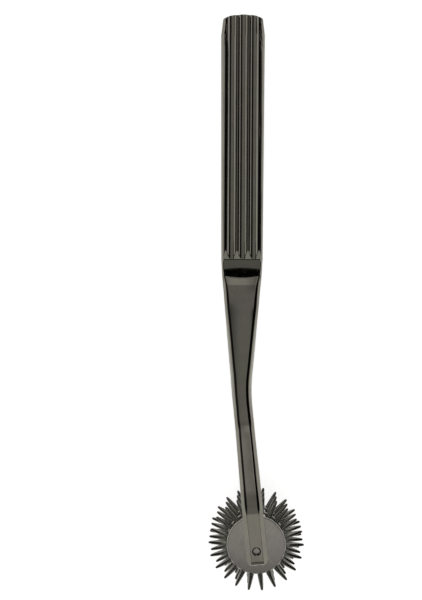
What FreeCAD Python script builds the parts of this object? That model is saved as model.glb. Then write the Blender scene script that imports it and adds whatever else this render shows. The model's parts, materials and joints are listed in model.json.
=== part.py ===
import FreeCAD, Part
import math
import os

# A neurological pinwheel with three wheels, made as the real one is: a cast handle that ends in a
# fork, an axle across the fork, and three discs of pins that spin on it between spacers.
# Millimetres. Each piece is drawn along +X from the end of the grip, with its broad side up (+Z)
# and its narrow side facing Y, and the whole is laid down at the end as it rests on a table: on the
# end of the grip and on the lower arm of the fork.

# Grip
grip_length = 80.2
grip_breadth = 13.76
grip_end_breadth = 14.5
grip_thickness = 6.06
grip_face_bevel = 0.85
grip_side_bevel = 1.36
end_taper_length = 6.5
end_taper = 0.6
end_dome = 1.0
end_corner_radius = 0.8
end_edge_radius = 0.3

# Grooves of the grip, alike on both broad sides
grooves = 4
groove_pitch = 3.72
groove_width = 2.3
groove_depth = 0.69
groove_ramp_length = 3.2

# Waist, scooped from both broad sides
waist_length = 12.0
waist_thickness = 3.1
waist_cross_radius = 42.0

# Shank, from the waist to the neck of the fork
shank_length = 41.8
shank_thickness = 5.4
neck_bevel = 1.4
bend_before_neck = 9.45
bend_angle = 5.9

# Fork
fork_gap = 19.1
arm_thickness = 4.1
arm_breadth = 6.6
branch_outer_angle = 25.5
branch_inner_angle = 27.1
neck_to_shoulder = 24.3
inner_shoulder_beyond_outer = 1.2
shoulder_to_axle = 16.1
arm_beyond_axle = 4.9
root_radius = 5.0
crotch_radius = 1.25
shoulder_outer_radius = 20.0
shoulder_inner_radius = 8.0
arm_tip_outer_radius = 1.5
arm_tip_inner_radius = 0.6
arm_tip_corner_radius = 1.6
inner_edge_bevel = 0.3

# Axle
axle_radius = 1.2
axle_end_chamfer = 0.15
axle_hole_mouth = 0.35
axle_seat_clearance = 0.01

# Wheels
wheel_names = ("near", "middle", "far")
hub_radius = 9.75
hub_thickness = 3.25
hub_rim_chamfer = 0.4
wheel_pitch = 5.7
running_clearance = 0.04
end_play = 0.05

# Pins of a wheel
pins_per_wheel = 22
pin_radius = 1.0
pin_reach = 15.75
pin_straight_length = 1.0
pin_tip_radius = 0.15
pin_tenon_radius = 0.6
pin_tenon_length = 1.8
pin_phases = (1.7, 1.3, 0.9)

# Spacers on the axle
spacer_radius = 2.6
spacer_edge_chamfer = 0.25
spacer_clearance = 0.02

overrun = 1.0

# Places along the instrument, from the end of the grip
neck_x = grip_length + shank_length + waist_length
bend_x = neck_x - bend_before_neck
shoulder_x = neck_x + neck_to_shoulder
axle_x = shoulder_x + shoulder_to_axle
arm_tip_x = axle_x + arm_beyond_axle

grip_half_breadth = grip_breadth / 2
grip_end_half_breadth = grip_end_breadth / 2
grip_half_thickness = grip_thickness / 2
neck_half_thickness = shank_thickness / 2
fork_half_gap = fork_gap / 2
fork_half_width = fork_half_gap + arm_thickness

# The blade is the tapered stretch from the grip to the neck. Each row is a cross section between
# the two: how far along it lies, how much of the change from the grip's size to the neck's it has
# made in breadth and in thickness, how much of its half breadth is bevel, and how much of its half
# thickness is the flat of its narrow side, which fades out in the middle and comes back at the neck.
blade_rows_shares = (
    (0.104, 0.075, 0.30, 0.136, 0.46),
    (0.205, 0.218, 0.80, 0.163, 0.49),
    (0.298, 0.330, 1.00, 0.190, 0.44),
    (0.390, 0.450, 1.00, 0.220, 0.30),
    (0.519, 0.603, 1.00, 0.285, 0.12),
    (0.641, 0.760, 1.00, 0.350, 0.06),
    (0.760, 0.916, 1.00, 0.415, 0.08),
    (0.889, 0.992, 1.00, 0.440, 0.28),
)


def point(x, y, z):
    return FreeCAD.Vector(x, y, z)


origin = point(0, 0, 0)
along = point(1, 0, 0)
across = point(0, 1, 0)
upward = point(0, 0, 1)


def bent(shape):
    """The shape swung sideways about the bend in the shank, as the fork and its wheels are."""
    swung = shape.copy()
    swung.rotate(point(bend_x, 0, 0), upward, bend_angle)
    return swung


def octagon(x, half_breadth, half_thickness, face_bevel, side_bevel):
    """A flat-sided cross section with bevelled corners, as a closed wire square to X."""
    flat_y = half_breadth - face_bevel
    flat_z = half_thickness - side_bevel
    corners = []
    for sign_y, sign_z, side_first in ((1, 1, True), (-1, 1, False), (-1, -1, True), (1, -1, False)):
        side = point(x, sign_y * half_breadth, sign_z * flat_z)
        face = point(x, sign_y * flat_y, sign_z * half_thickness)
        corners += [side, face] if side_first else [face, side]
    return Part.makePolygon(corners + corners[:1])


def filleted_outline(corners):
    """A closed wire in the XZ or XY plane: each corner is (place, radius), rounded by an arc."""
    count = len(corners)
    edges = []
    starts = []
    ends = []
    middles = []
    for i in range(count):
        here, radius = corners[i]
        to_last = (corners[i - 1][0] - here).normalize()
        to_next = (corners[(i + 1) % count][0] - here).normalize()
        half_turn = to_last.getAngle(to_next) / 2
        inset = radius / math.tan(half_turn)
        bisector = (to_last + to_next).normalize()
        reach = radius / math.sin(half_turn) - radius
        starts.append(here + to_last * inset)
        middles.append(here + bisector * reach)
        ends.append(here + to_next * inset)
    for i in range(count):
        if corners[i][1]:
            edges.append(Part.Arc(starts[i], middles[i], ends[i]).toShape())
        edges.append(Part.LineSegment(ends[i], starts[(i + 1) % count]).toShape())
    return Part.Wire(edges)


def half_breadth_at(x):
    """Half the grip's breadth, which lessens a little towards the waist."""
    return grip_end_half_breadth + (grip_half_breadth - grip_end_half_breadth) * x / grip_length


def grip_section(x):
    return octagon(x, half_breadth_at(x), grip_half_thickness, grip_face_bevel, grip_side_bevel)


def grip_bar():
    """The grip as a plain bar with bevelled long edges."""
    first, last = grip_section(0), grip_section(grip_length)
    starts = [vertex.Point for vertex in first.OrderedVertexes]
    ends = [vertex.Point for vertex in last.OrderedVertexes]
    sides = [Part.Face(first), Part.Face(last)]
    for i in range(len(starts)):
        around = [starts[i - 1], starts[i], ends[i], ends[i - 1], starts[i - 1]]
        sides.append(Part.Face(Part.makePolygon(around)))
    return Part.makeSolid(Part.makeShell(sides))


def grip_end_envelope():
    """What the grip keeps at its end, seen from its broad side: a low dome with round corners."""
    taper_half = half_breadth_at(end_taper_length)
    half_end = taper_half - end_taper
    dome_radius = (half_end**2 + end_dome**2) / (2 * end_dome)
    corner_y = half_end - end_corner_radius
    corner_x = dome_radius - math.sqrt((dome_radius - end_corner_radius) ** 2 - corner_y**2)
    to_corner = point(corner_x - dome_radius, corner_y, 0) / (dome_radius - end_corner_radius)
    meeting = point(dome_radius, 0, 0) + to_corner * dome_radius
    between = (to_corner + across).normalize() * end_corner_radius
    halfway = point(corner_x, corner_y, 0) + between
    beyond = grip_length + overrun
    half_wide = grip_end_half_breadth + overrun
    side = [
        point(corner_x, half_end, 0),
        point(end_taper_length, taper_half, 0),
        point(end_taper_length, half_wide, 0),
        point(beyond, half_wide, 0),
    ]
    edges = [Part.LineSegment(a, b).toShape() for a, b in zip(side, side[1:])]
    edges.append(Part.Arc(meeting, halfway, side[0]).toShape())
    edges += [edge.mirror(origin, across) for edge in edges]
    edges.append(Part.LineSegment(side[-1], point(beyond, -half_wide, 0)).toShape())
    edges.append(Part.Arc(meeting, origin, point(meeting.x, -meeting.y, 0)).toShape())
    envelope = Part.Face(Part.Wire(Part.sortEdges(edges)[0])).extrude(upward * grip_thickness)
    envelope.translate(upward * -grip_half_thickness)
    return envelope


def rounded_end(bar):
    """The bar with the edges between its domed end and its broad sides rounded."""
    rims = []
    for face in bar.Faces:
        if face.Surface.TypeId == "Part::GeomCylinder":
            rims += [edge for edge in face.Edges if abs(edge.CenterOfMass.z) > grip_half_thickness - 1e-6]
    return bar.makeFillet(end_edge_radius, rims)


def groove_cutter(y):
    """A round-bottomed groove, open at the grip's end, that ramps out at the waist."""
    radius = ((groove_width / 2) ** 2 + groove_depth**2) / (2 * groove_depth)
    centre_z = grip_half_thickness - groove_depth + radius
    ramp_x = grip_length - groove_ramp_length
    ramp_angle = math.atan2(groove_depth, groove_ramp_length)
    ramp_reach = (groove_ramp_length + radius) / math.cos(ramp_angle)
    straight = Part.makeCylinder(radius, ramp_x + overrun, point(-overrun, y, centre_z), along)
    ramp_way = point(math.cos(ramp_angle), 0, math.sin(ramp_angle))
    ramp = Part.makeCylinder(radius, ramp_reach, point(ramp_x, y, centre_z), ramp_way)
    return straight.fuse(ramp)


def grip():
    """The grip with its domed end and its grooves."""
    body = rounded_end(grip_bar().common(grip_end_envelope()).removeSplitter())
    first = -groove_pitch * (grooves - 1) / 2
    for i in range(grooves):
        cutter = groove_cutter(first + i * groove_pitch)
        body = body.cut(cutter)
        body = body.cut(cutter.mirror(origin, upward))
    return body


def blade():
    """The tapered stretch from the grip to the neck, through the bend."""
    length = neck_x - grip_length
    narrowing = grip_half_breadth - arm_breadth / 2
    thinning = grip_half_thickness - neck_half_thickness
    sections = [grip_section(grip_length)]
    for along_share, breadth_share, thickness_share, bevel_share, flat_share in blade_rows_shares:
        x = grip_length + along_share * length
        half_breadth = grip_half_breadth - breadth_share * narrowing
        half_thickness = grip_half_thickness - thickness_share * thinning
        side_bevel = half_thickness * (1 - flat_share)
        section = octagon(x, half_breadth, half_thickness, bevel_share * half_breadth, side_bevel)
        sections.append(bent(section) if x > bend_x else section)
    neck = octagon(neck_x, arm_breadth / 2, neck_half_thickness, neck_bevel, neck_bevel)
    return Part.makeLoft(sections + [bent(neck)], True, False)


def waist_cutter():
    """A ring whose rim presses a shallow dish into the upper side of the waist."""
    half_length = waist_length / 2
    depth = (grip_half_thickness + neck_half_thickness) / 2 - waist_thickness / 2
    scoop_radius = (half_length**2 + depth**2) / (2 * depth)
    centre = point(grip_length + half_length, 0, waist_thickness / 2 + waist_cross_radius)
    return Part.makeTorus(waist_cross_radius - scoop_radius, scoop_radius, centre, along)


def fork_outline(tip_outer_radius, tip_inner_radius):
    """The fork seen from its narrow side, as a closed wire in the XZ plane."""
    outer_slope = math.tan(math.radians(branch_outer_angle))
    inner_slope = math.tan(math.radians(branch_inner_angle))
    root_x = shoulder_x - (fork_half_width - neck_half_thickness) / outer_slope
    inner_shoulder_x = shoulder_x + inner_shoulder_beyond_outer
    crotch_x = inner_shoulder_x - fork_half_gap / inner_slope
    upper = (
        (point(neck_x, 0, neck_half_thickness), 0),
        (point(root_x, 0, neck_half_thickness), root_radius),
        (point(shoulder_x, 0, fork_half_width), shoulder_outer_radius),
        (point(arm_tip_x, 0, fork_half_width), tip_outer_radius),
        (point(arm_tip_x, 0, fork_half_gap), tip_inner_radius),
        (point(inner_shoulder_x, 0, fork_half_gap), shoulder_inner_radius),
    )
    lower = [(point(place.x, 0, -place.z), radius) for place, radius in reversed(upper)]
    return filleted_outline(upper + ((point(crotch_x, 0, 0), crotch_radius),) + tuple(lower))


def long_edges(shape, side_y, outer):
    """Edges of one flat side of the fork: those of its outside, or of the space between its arms."""
    slope = math.tan(math.radians(branch_outer_angle))
    found = []
    for edge in shape.Edges:
        ends = [vertex.Point for vertex in edge.Vertexes]
        if not all(math.isclose(end.y, side_y, abs_tol=1e-6) for end in ends):
            continue
        middle = edge.valueAt((edge.FirstParameter + edge.LastParameter) / 2)
        middle_line = fork_half_width - arm_thickness / 2 - slope * max(shoulder_x - middle.x, 0)
        at_end = min(abs(middle.x - neck_x), abs(middle.x - arm_tip_x)) < 1e-6
        if not at_end and (abs(middle.z) > middle_line) == outer:
            found.append(edge)
    return found


def fork_slab(outline):
    """An outline of the fork, as thick across as its arms are broad."""
    slab = Part.Face(outline).extrude(across * arm_breadth)
    slab.translate(across * (-arm_breadth / 2))
    return slab


def tip_envelope():
    """What the arms keep at their tips, seen from the broad side: round corners."""
    half = arm_breadth / 2
    corners = (
        (point(neck_x - overrun, half, 0), 0),
        (point(arm_tip_x, half, 0), arm_tip_corner_radius),
        (point(arm_tip_x, -half, 0), arm_tip_corner_radius),
        (point(neck_x - overrun, -half, 0), 0),
    )
    reach = fork_half_width + overrun
    envelope = Part.Face(filleted_outline(corners)).extrude(upward * (2 * reach))
    envelope.translate(upward * -reach)
    return envelope


def fork():
    """The branches and arms of the fork, with bevelled edges and the holes for the axle."""
    body = fork_slab(fork_outline(0, 0))
    half = arm_breadth / 2
    outside = long_edges(body, half, True) + long_edges(body, -half, True)
    body = body.makeChamfer(neck_bevel, outside)
    inside = long_edges(body, half, False) + long_edges(body, -half, False)
    body = body.makeChamfer(inner_edge_bevel, inside)
    body = body.common(fork_slab(fork_outline(arm_tip_outer_radius, arm_tip_inner_radius)))
    body = body.common(tip_envelope())
    return bent(body.cut(axle_hole()))


def axle_hole():
    """The hole through both arms, opened a little at each mouth."""
    radius = axle_radius + axle_seat_clearance
    wide = radius + axle_hole_mouth
    reach = fork_half_width + overrun
    hole = Part.makeCylinder(radius, 2 * reach, point(axle_x, 0, -reach), upward)
    mouth_z = fork_half_width - axle_hole_mouth
    mouth = Part.makeCone(radius, wide, axle_hole_mouth, point(axle_x, 0, mouth_z), upward)
    return hole.fuse([mouth, mouth.mirror(origin, upward)])


def handle():
    """The casting: grip, waist, shank and fork in one piece."""
    body = grip().fuse([blade(), fork()])
    scoop = waist_cutter()
    return body.cut([scoop, scoop.mirror(origin, upward)]).removeSplitter()


def axle():
    """The rod across the fork, its ends flush with the outer faces of the arms."""
    rod = Part.makeCylinder(axle_radius, 2 * fork_half_width, point(axle_x, 0, -fork_half_width), upward)
    rims = [edge for edge in rod.Edges if edge.Closed and abs(abs(edge.CenterOfMass.z) - fork_half_width) < 1e-6]
    return bent(rod.makeChamfer(axle_end_chamfer, rims))


def pin():
    """One pin on the +X side of the axle: a tenon in the rim, a straight stretch and a long point."""
    seat = math.sqrt(hub_radius**2 - pin_radius**2)
    nose_start = seat + pin_straight_length
    nose_length = pin_reach - nose_start
    narrowing = pin_radius - pin_tip_radius
    nose_radius = (nose_length**2 + narrowing**2) / (2 * narrowing)
    halfway = nose_length / 2
    halfway_radius = pin_radius - nose_radius + math.sqrt(nose_radius**2 - halfway**2)
    tenon_end = seat - pin_tenon_length
    outline = [
        (tenon_end, 0),
        (tenon_end, pin_tenon_radius),
        (seat, pin_tenon_radius),
        (seat, pin_radius),
        (nose_start, pin_radius),
    ]
    places = [point(x, y, 0) for x, y in outline]
    edges = [Part.LineSegment(a, b).toShape() for a, b in zip(places, places[1:])]
    tip_side = point(pin_reach, pin_tip_radius, 0)
    tip = point(pin_reach, 0, 0)
    nose = Part.Arc(places[-1], point(nose_start + halfway, halfway_radius, 0), tip_side)
    edges += [nose.toShape(), Part.LineSegment(tip_side, tip).toShape()]
    edges.append(Part.LineSegment(tip, places[0]).toShape())
    return Part.Face(Part.Wire(edges)).revolve(origin, along, 360)


def ring_of_pins(phase):
    """All the pins of one wheel, about the origin, with the first turned by so many degrees."""
    first = pin()
    pins = []
    for i in range(pins_per_wheel):
        turned = first.copy()
        turned.rotate(origin, upward, phase + i * 360 / pins_per_wheel)
        pins.append(turned)
    return Part.makeCompound(pins)


def hub(pins):
    """A thick disc with a chamfered rim, a running bore and a socket for each pin."""
    disc = Part.makeCylinder(hub_radius, hub_thickness, point(0, 0, -hub_thickness / 2), upward)
    disc = disc.makeChamfer(hub_rim_chamfer, [edge for edge in disc.Edges if edge.Closed])
    bore_radius = axle_radius + running_clearance
    bore = Part.makeCylinder(bore_radius, hub_thickness, point(0, 0, -hub_thickness / 2), upward)
    return disc.cut([bore] + pins.Solids)


def on_axle(shape, z):
    """A shape made about the origin, moved to its place on the axle."""
    moved = shape.copy()
    moved.translate(point(axle_x, 0, z))
    return bent(moved)


def spacer(low_z, high_z):
    """A sleeve on the axle between two heights, with its outer edges broken."""
    length = high_z - low_z
    sleeve = Part.makeCylinder(spacer_radius, length, point(0, 0, low_z), upward)
    sleeve = sleeve.makeChamfer(spacer_edge_chamfer, [edge for edge in sleeve.Edges if edge.Closed])
    bore_radius = axle_radius + spacer_clearance
    return sleeve.cut(Part.makeCylinder(bore_radius, length, point(0, 0, low_z), upward))


def wheels_and_spacers():
    """Each wheel's hub and pins, and the spacers below, between and above the wheels."""
    pieces = {}
    half_hub = hub_thickness / 2
    middle = (len(wheel_names) - 1) / 2
    for i, name in enumerate(wheel_names):
        z = (middle - i) * wheel_pitch
        pins = ring_of_pins(pin_phases[i])
        pieces["hub_" + name] = on_axle(hub(pins), z)
        pieces["pins_" + name] = on_axle(pins, z)
        if i:
            low = z + half_hub + end_play
            high = z + wheel_pitch - half_hub - end_play
            pieces["spacer_" + wheel_names[i - 1] + "_to_" + name] = on_axle(spacer(low, high), 0)
    outermost = middle * wheel_pitch + half_hub + end_play
    end_spacer = spacer(outermost, fork_half_gap)
    pieces["end_spacer_" + wheel_names[0]] = on_axle(end_spacer, 0)
    pieces["end_spacer_" + wheel_names[-1]] = on_axle(end_spacer.mirror(origin, upward), 0)
    return pieces


def resting_tilt():
    """The angle that the instrument makes with the table, resting on its grip's end and its fork."""
    half_turn = math.radians(branch_outer_angle) / 2
    round_x = shoulder_x + shoulder_outer_radius * math.tan(half_turn)
    round_x = bend_x + (round_x - bend_x) * math.cos(math.radians(bend_angle))
    round_z = shoulder_outer_radius - fork_half_width
    rise = round_z + grip_half_thickness
    distance = math.hypot(round_x, rise)
    return math.degrees(math.asin(shoulder_outer_radius / distance) - math.atan2(rise, round_x))


def laid_down(pieces):
    """The pieces tilted to rest on the table, with the origin under the middle of them all."""
    tilt = resting_tilt()
    for shape in pieces.values():
        shape.rotate(origin, across, -tilt)
    box = Part.makeCompound(list(pieces.values())).optimalBoundingBox(False)
    shift = point(-box.Center.x, -box.Center.y, -box.ZMin)
    for shape in pieces.values():
        shape.translate(shift)
    print("tilt %.4f degrees" % tilt)
    print("shift %.4f %.4f %.4f" % tuple(shift))
    print("size %.3f %.3f %.3f" % (box.XLength, box.YLength, box.ZLength))
    return pieces


def main():
    pieces = {"handle": handle(), "axle": axle()}
    pieces.update(wheels_and_spacers())
    os.makedirs("parts", exist_ok=True)
    for name, shape in laid_down(pieces).items():
        print(name, "solids", len(shape.Solids), "volume %.3f" % shape.Volume, "valid", shape.isValid())
        shape.exportStep("parts/" + name + ".step")


main()
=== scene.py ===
"""A neurological pinwheel with three wheels, plated in dark nickel, lying on a white table.

Shapes are drawn in millimetres in the instrument's own frame: X runs from the end of the grip to
the fork, the broad side is up (+Z) and the narrow side faces Y. `placed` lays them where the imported
model lies.
"""
import json
import math
from bisect import bisect
from functools import lru_cache

import bmesh
import bpy
from mathutils import Matrix, Vector


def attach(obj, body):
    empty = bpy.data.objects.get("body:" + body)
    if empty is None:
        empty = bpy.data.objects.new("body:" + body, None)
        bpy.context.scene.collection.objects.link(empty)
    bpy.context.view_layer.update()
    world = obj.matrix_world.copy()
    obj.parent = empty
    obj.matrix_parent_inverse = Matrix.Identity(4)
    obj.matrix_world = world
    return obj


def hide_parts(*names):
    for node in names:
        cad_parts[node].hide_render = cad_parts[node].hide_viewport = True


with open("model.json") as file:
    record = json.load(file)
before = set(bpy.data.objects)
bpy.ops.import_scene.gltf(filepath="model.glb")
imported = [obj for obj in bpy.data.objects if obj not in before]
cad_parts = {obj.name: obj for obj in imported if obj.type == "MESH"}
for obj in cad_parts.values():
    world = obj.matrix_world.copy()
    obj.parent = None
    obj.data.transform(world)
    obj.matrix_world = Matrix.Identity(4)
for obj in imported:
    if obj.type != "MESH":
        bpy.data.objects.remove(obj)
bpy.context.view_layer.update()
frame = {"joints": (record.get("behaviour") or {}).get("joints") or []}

MM = 0.001

# Grip
grip_length = 80.2
grip_half_breadth = 6.88
grip_end_half_breadth = 7.25
grip_half_thickness = 3.03
grip_edge_radius = 0.35
end_taper_length = 6.5
end_taper = 0.6
end_dome = 1.0
end_corner_radius = 0.8
end_edge_radius = 0.3
end_blend_length = 8.0
end_bevel_widening = 1.35
end_bevel_length = 11.0
end_blend_power = 1.5

# Grooves of the grip: the slope of a groove's two sides, in degrees, at distances from its middle
grooves = 4
groove_pitch = 3.67
groove_shift = 0.15
right_groove_slopes = (
    (0.0, 5.2), (0.3, 6.6), (0.36, 33.4), (0.45, 39.0), (0.823, 39.0), (0.873, 34.0), (1.073, 32.0),
    (1.193, 17.0), (1.543, 6.0), (1.593, 0.0),
)
left_groove_slopes = (
    (0.0, 5.0), (0.3, 5.1), (0.36, 36.0), (0.6, 37.0), (0.75, 41.0), (1.127, 41.0), (1.207, 8.0),
    (1.257, 0.0),
)
groove_ramp_angle = math.radians(15.0)
groove_softness = 0.04
outer_groove_drop = 0.1
outer_groove_drop_half = 0.33

# Waist: at places along the middle line, how much farther the place lies at the side line, and the
# downward slope there in degrees
waist_side_y = 5.4
waist_slopes = (
    (80.20, 0.0, 3.0), (80.26, 0.0, 12.0), (80.50, 0.0, 15.0), (80.65, 0.0, 16.6), (83.05, 0.37, 16.0),
    (83.20, 0.37, 14.7), (86.50, -0.5, 11.4), (86.70, -0.5, -12.0), (86.85, -0.5, -17.5),
    (96.0, -0.5, -17.5),
)
# Between these places the broad side is the lower of the waist's floor and the shank
waist_meets_shank = (86.0, 94.0)
waist_softness = 0.04

# Shank: it thins towards the waist, where its broad side is a little hollow. Beyond that it is
# crowned, and the branches are hollow again.
shank_slopes = ((84.0, 8.4), (90.5, 8.4), (95.5, 0.0), (134.0, 0.0))
shank_hollow_radius = 60.0
crown_radius = 44.0
branch_hollow_radius = 110.0
crown_starts, crown_full = 89.0, 98.0
bend_x = 124.55
bend_angle = math.radians(5.9)
bend_half_length = 4.5
neck_x = 134.0
neck_half_breadth = 3.22
neck_half_thickness = 2.7
neck_face_bevel = 1.11
branch_face_bevel = 1.2
branch_bevel_grows = (142.0, 156.0)
neck_side_bevel = 1.4
shank_edge_radius = 1.5
bevel_side_radius = 0.5
shank_edge_starts, shank_edge_full = grip_length + 2.0, grip_length + 9.0

# Fork
shoulder_x = 158.3
axle_x = 174.4
arm_tip_x = 179.3
arm_half_breadth = 3.36
arm_breadth_starts = neck_x + 2.0
fork_half_gap = 9.55
fork_half_width = 13.65
branch_outer_angle = math.radians(25.5)
branch_inner_angle = math.radians(27.1)
inner_shoulder_beyond_outer = 1.2
root_radius = 5.0
crotch_radius = 1.25
shoulder_outer_radius = 20.0
shoulder_inner_radius = 8.0
branch_hollow_grows = (134.0, 140.0)
crown_ends, crown_gone = 159.8, 163.5
arm_edge_radius = 0.15
arm_tip_outer_radius = 1.5
arm_tip_inner_radius = 0.6
arm_tip_corner_radius = 1.6
tip_edge_radius = 0.98 * arm_tip_corner_radius
tip_corner_leg = arm_tip_corner_radius / (1 + math.sqrt(0.5))
tip_corner_start = arm_tip_x - arm_tip_corner_radius
tip_rounding_starts = shoulder_x + 4.0
end_normal_share = 0.05
inner_edge_bevel = 0.3
inner_edge_radius = 0.2

# Axle and spacers
axle_radius = 1.2
axle_clearance = 0.01
axle_end_bevel = 0.1
axle_mouth_reach = 0.22
axle_mouth_depth = 0.1
axle_bevel_radii = (0.12, 0.2)
axle_end_reach = 1.0
axle_face_ring = 0.4
cutter_overshoot = 0.5
spacer_radius = 2.6
spacer_bevel = 0.25
spacer_clearance = 0.02

# Soft edges of hubs and sleeves: at the bore, and as a share of the bevel outside
bore_edge_radius = 0.06
edge_radius_share = 0.45

# Wheels
hub_radius = 9.75
hub_thickness = 3.25
hub_bevel = 0.4
hub_clearance = 0.04
end_play = 0.05
wheel_pitch = 5.7
pins_per_wheel = 22
pin_phases = {"near": 1.7, "middle": 1.3, "far": 0.9}
pin_seat = 9.69
pin_tenon_radius = 0.6
pin_tenon_length = 1.8
pin_length = 6.06

# A pin's half width round the wheel and along the axle at distances from its seat
pin_rows = (
    (0.0, 0.92, 1.07), (1.0, 0.89, 1.07), (2.0, 0.83, 0.99), (3.0, 0.75, 0.83), (4.0, 0.66, 0.62),
    (5.0, 0.53, 0.37), (5.6, 0.42, 0.22), (5.9, 0.31, 0.14),
)

# How each blade row divides the way from the grip to the neck: along, breadth, thickness, bevel over
# half breadth, and flat of the narrow side over half thickness
blade_rows = (
    (0.0, 0.0, 0.0, 0.1223, 0.5512),
    (0.035, 0.022, 0.08, 0.060, 0.48),
    (0.104, 0.077, 0.30, 0.120, 0.30),
    (0.132, 0.113, 0.43, 0.155, 0.32),
    (0.205, 0.218, 0.80, 0.162, 0.40),
    (0.298, 0.330, 1.00, 0.144, 0.44),
    (0.390, 0.450, 1.00, 0.144, 0.30),
    (0.519, 0.603, 1.00, 0.177, 0.12),
    (0.641, 0.760, 1.00, 0.208, 0.06),
    (0.760, 0.916, 1.00, 0.262, 0.08),
    (0.889, 0.992, 1.00, 0.300, 0.28),
    (1.0, 1.0, 1.0, 0.3447, 0.4815),
)

# Colour and roughness of the plating, and how its colour drifts and wears
handle_colour, handle_roughness = (0.206, 0.195, 0.169), 0.06
hub_colour, hub_roughness = (0.255, 0.24, 0.222), 0.11
pin_colour, pin_roughness = (0.27, 0.268, 0.245), 0.22
axle_colour, axle_roughness = (0.25, 0.235, 0.215), 0.10
pin_edge_level = 0.5
olive_tint, plum_tint, worn_tint = (0.99, 1.01, 0.93), (1.01, 0.985, 1.0), (1.45, 1.42, 1.38)
tint_range, marks_range, smudge_range = (0.3, 0.7), (0.3, 0.7), (0.35, 0.65)
marks_level, smudge_level = (0.93, 1.07), (0.95, 1.05)
scuff_range, haze_range = (0.35, 0.75), (0.45, 0.75)
scuff_roughness, haze_roughness, wear_roughness = (-0.02, 0.05), (0.0, 0.06), 0.08
worn_edge_from, worn_edge_to, worn_edge_share = 0.52, 0.62, 0.5
worn_point_from, worn_point_to, worn_point_share = 13.5, 15.7, 0.55

# How often the plating's patterns repeat, for each millimetre, and how deep they are, in metres
handle_marks = (0.12, 5.0, 5.0)
turned_marks = 4.0
cloud_scale, smudge_scale, peel_scale = 0.09, 0.28, 0.35
peel_depth, marks_depth = 4e-6, 2.5e-7

# Camera: its places in the instrument's frame, roll in radians and focal length in millimetres
camera_eye = Vector((87.03, 0.1, 266.43))
camera_target = Vector((93.95, -10.3, 0.0))
camera_roll = 0.0038
camera_focal_length = 47.71

# Table and lamp, in metres and watts
floor_half_size = 3.0
floor_corners = ((-1, -1), (1, -1), (1, 1), (-1, 1))
floor_colour = 0.85
floor_lift = 0.78
lamp_size = 1.6
lamp_height = 1.3
lamp_energy = 4.5

# Brightness of the studio overhead, in the instrument's frame: by the angle from straight up towards
# the fork, and by the angle towards the side, in degrees
overhead_levels = (
    (-90.0, 1.0), (-64.0, 1.0), (-58.0, 0.95), (-46.0, 1.0), (-41.0, 0.98), (-37.5, 0.76), (-33.0, 0.8),
    (-29.0, 0.66), (-18.0, 0.45), (-12.0, 0.43), (-7.0, 0.45), (-1.0, 0.41), (3.0, 0.46), (6.0, 0.43),
    (10.5, 0.41), (12.5, 0.82), (20.5, 0.84), (21.2, 0.0), (29.2, 0.0), (30.0, 0.34), (52.0, 0.36),
    (60.0, 0.5), (66.0, 0.6), (90.0, 0.6),
)
strip_levels = (
    (-90.0, 0.05), (-16.0, 0.05), (-12.0, 0.24), (-8.0, 0.58), (-4.5, 0.84), (-1.5, 1.0), (8.8, 1.0),
    (10.8, 0.01), (90.0, 0.01),
)

# Brightness of the horizon by its height in degrees. It starts lower at one side, by horizon_screen,
# and is dimmer beyond the fork. Both changes come in between two shares of the way there.
horizon_levels = ((-90.0, 1.0), (16.0, 1.0), (26.0, 0.0), (90.0, 0.0))
horizon_screen = 7.0
screen_starts, screen_full = 0.2, 0.6
horizon_beyond_fork = 0.6
beyond_fork_starts, beyond_fork_full = 0.3, 0.7

# How finely the shapes are divided
wall_steps = 6
corner_steps = 6
bevel_steps = 12
path_steps = 40
neck_steps = 26
hub_segments, hub_edge_steps = 160, 4
sleeve_segments, sleeve_edge_steps = 64, 3
rod_segments, rod_edge_steps = 64, 4
cutter_segments = 96
pin_segments, pin_length_steps = 28, 22
pin_point_turns = (0.35, 0.65, 0.88, 1.0)
sharp_edge = math.radians(20)
weld_distance = 0.0008
handle_weld_distance = 0.004

# Where the broad side has its lines of vertices: those of the grooves lie within columns_reach
columns_reach = 5.5
columns_held = 3.7
columns_margin = 0.3
columns_beyond = 5

# Where the bar has its rings of vertices: near the grip's end, then runs of so many steps
near_end_insets = (
    0, 0.03, 0.07, 0.12, 0.18, 0.26, 0.36, 0.5, 0.7, 0.95, 1.3, 1.7, 2.2, 2.8, 3.5, 4.3, 5.2,
)
bar_runs = (
    (end_taper_length, 76.0, 34),
    (76.3, grip_length - 0.1, 30),
    (grip_length, 80.8, 12),
    (80.9, 82.9, 10),
    (83.0, 90.5, 80),
    (90.7, 100.0, 30),
    (100.6, neck_x - 14.5, 22),
    (neck_x - 14.0, neck_x, 30),
)

# How far along from the crotch, the shoulder and the arm's tip the places lie, outside and inside the
# fork, that face each other across an arm. The runs between them have so many steps.
outside_at_crotch = -2.3
throat_shifts = (-0.5, 0.9)
arm_shifts = (4.8, 4.8)
tip_shifts = (-1.8, -1.8)
corner_shifts = (-1.5, -0.6)
fork_run_steps = (12, 56, 24, 4, 20)


def lerp(a, b, share):
    return a + (b - a) * share


def spread(low, high, steps):
    """Evenly spaced values from low to high, both included."""
    return [lerp(low, high, i / steps) for i in range(steps + 1)]


def smooth_share(x, low, high):
    share = min(max((x - low) / (high - low), 0.0), 1.0)
    return share * share * (3 - 2 * share)


def soft_min(a, b, width):
    """The lesser of two heights, with the crease between them rounded."""
    share = max(width - abs(a - b), 0.0) / width
    return min(a, b) - share * share * width / 4


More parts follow.
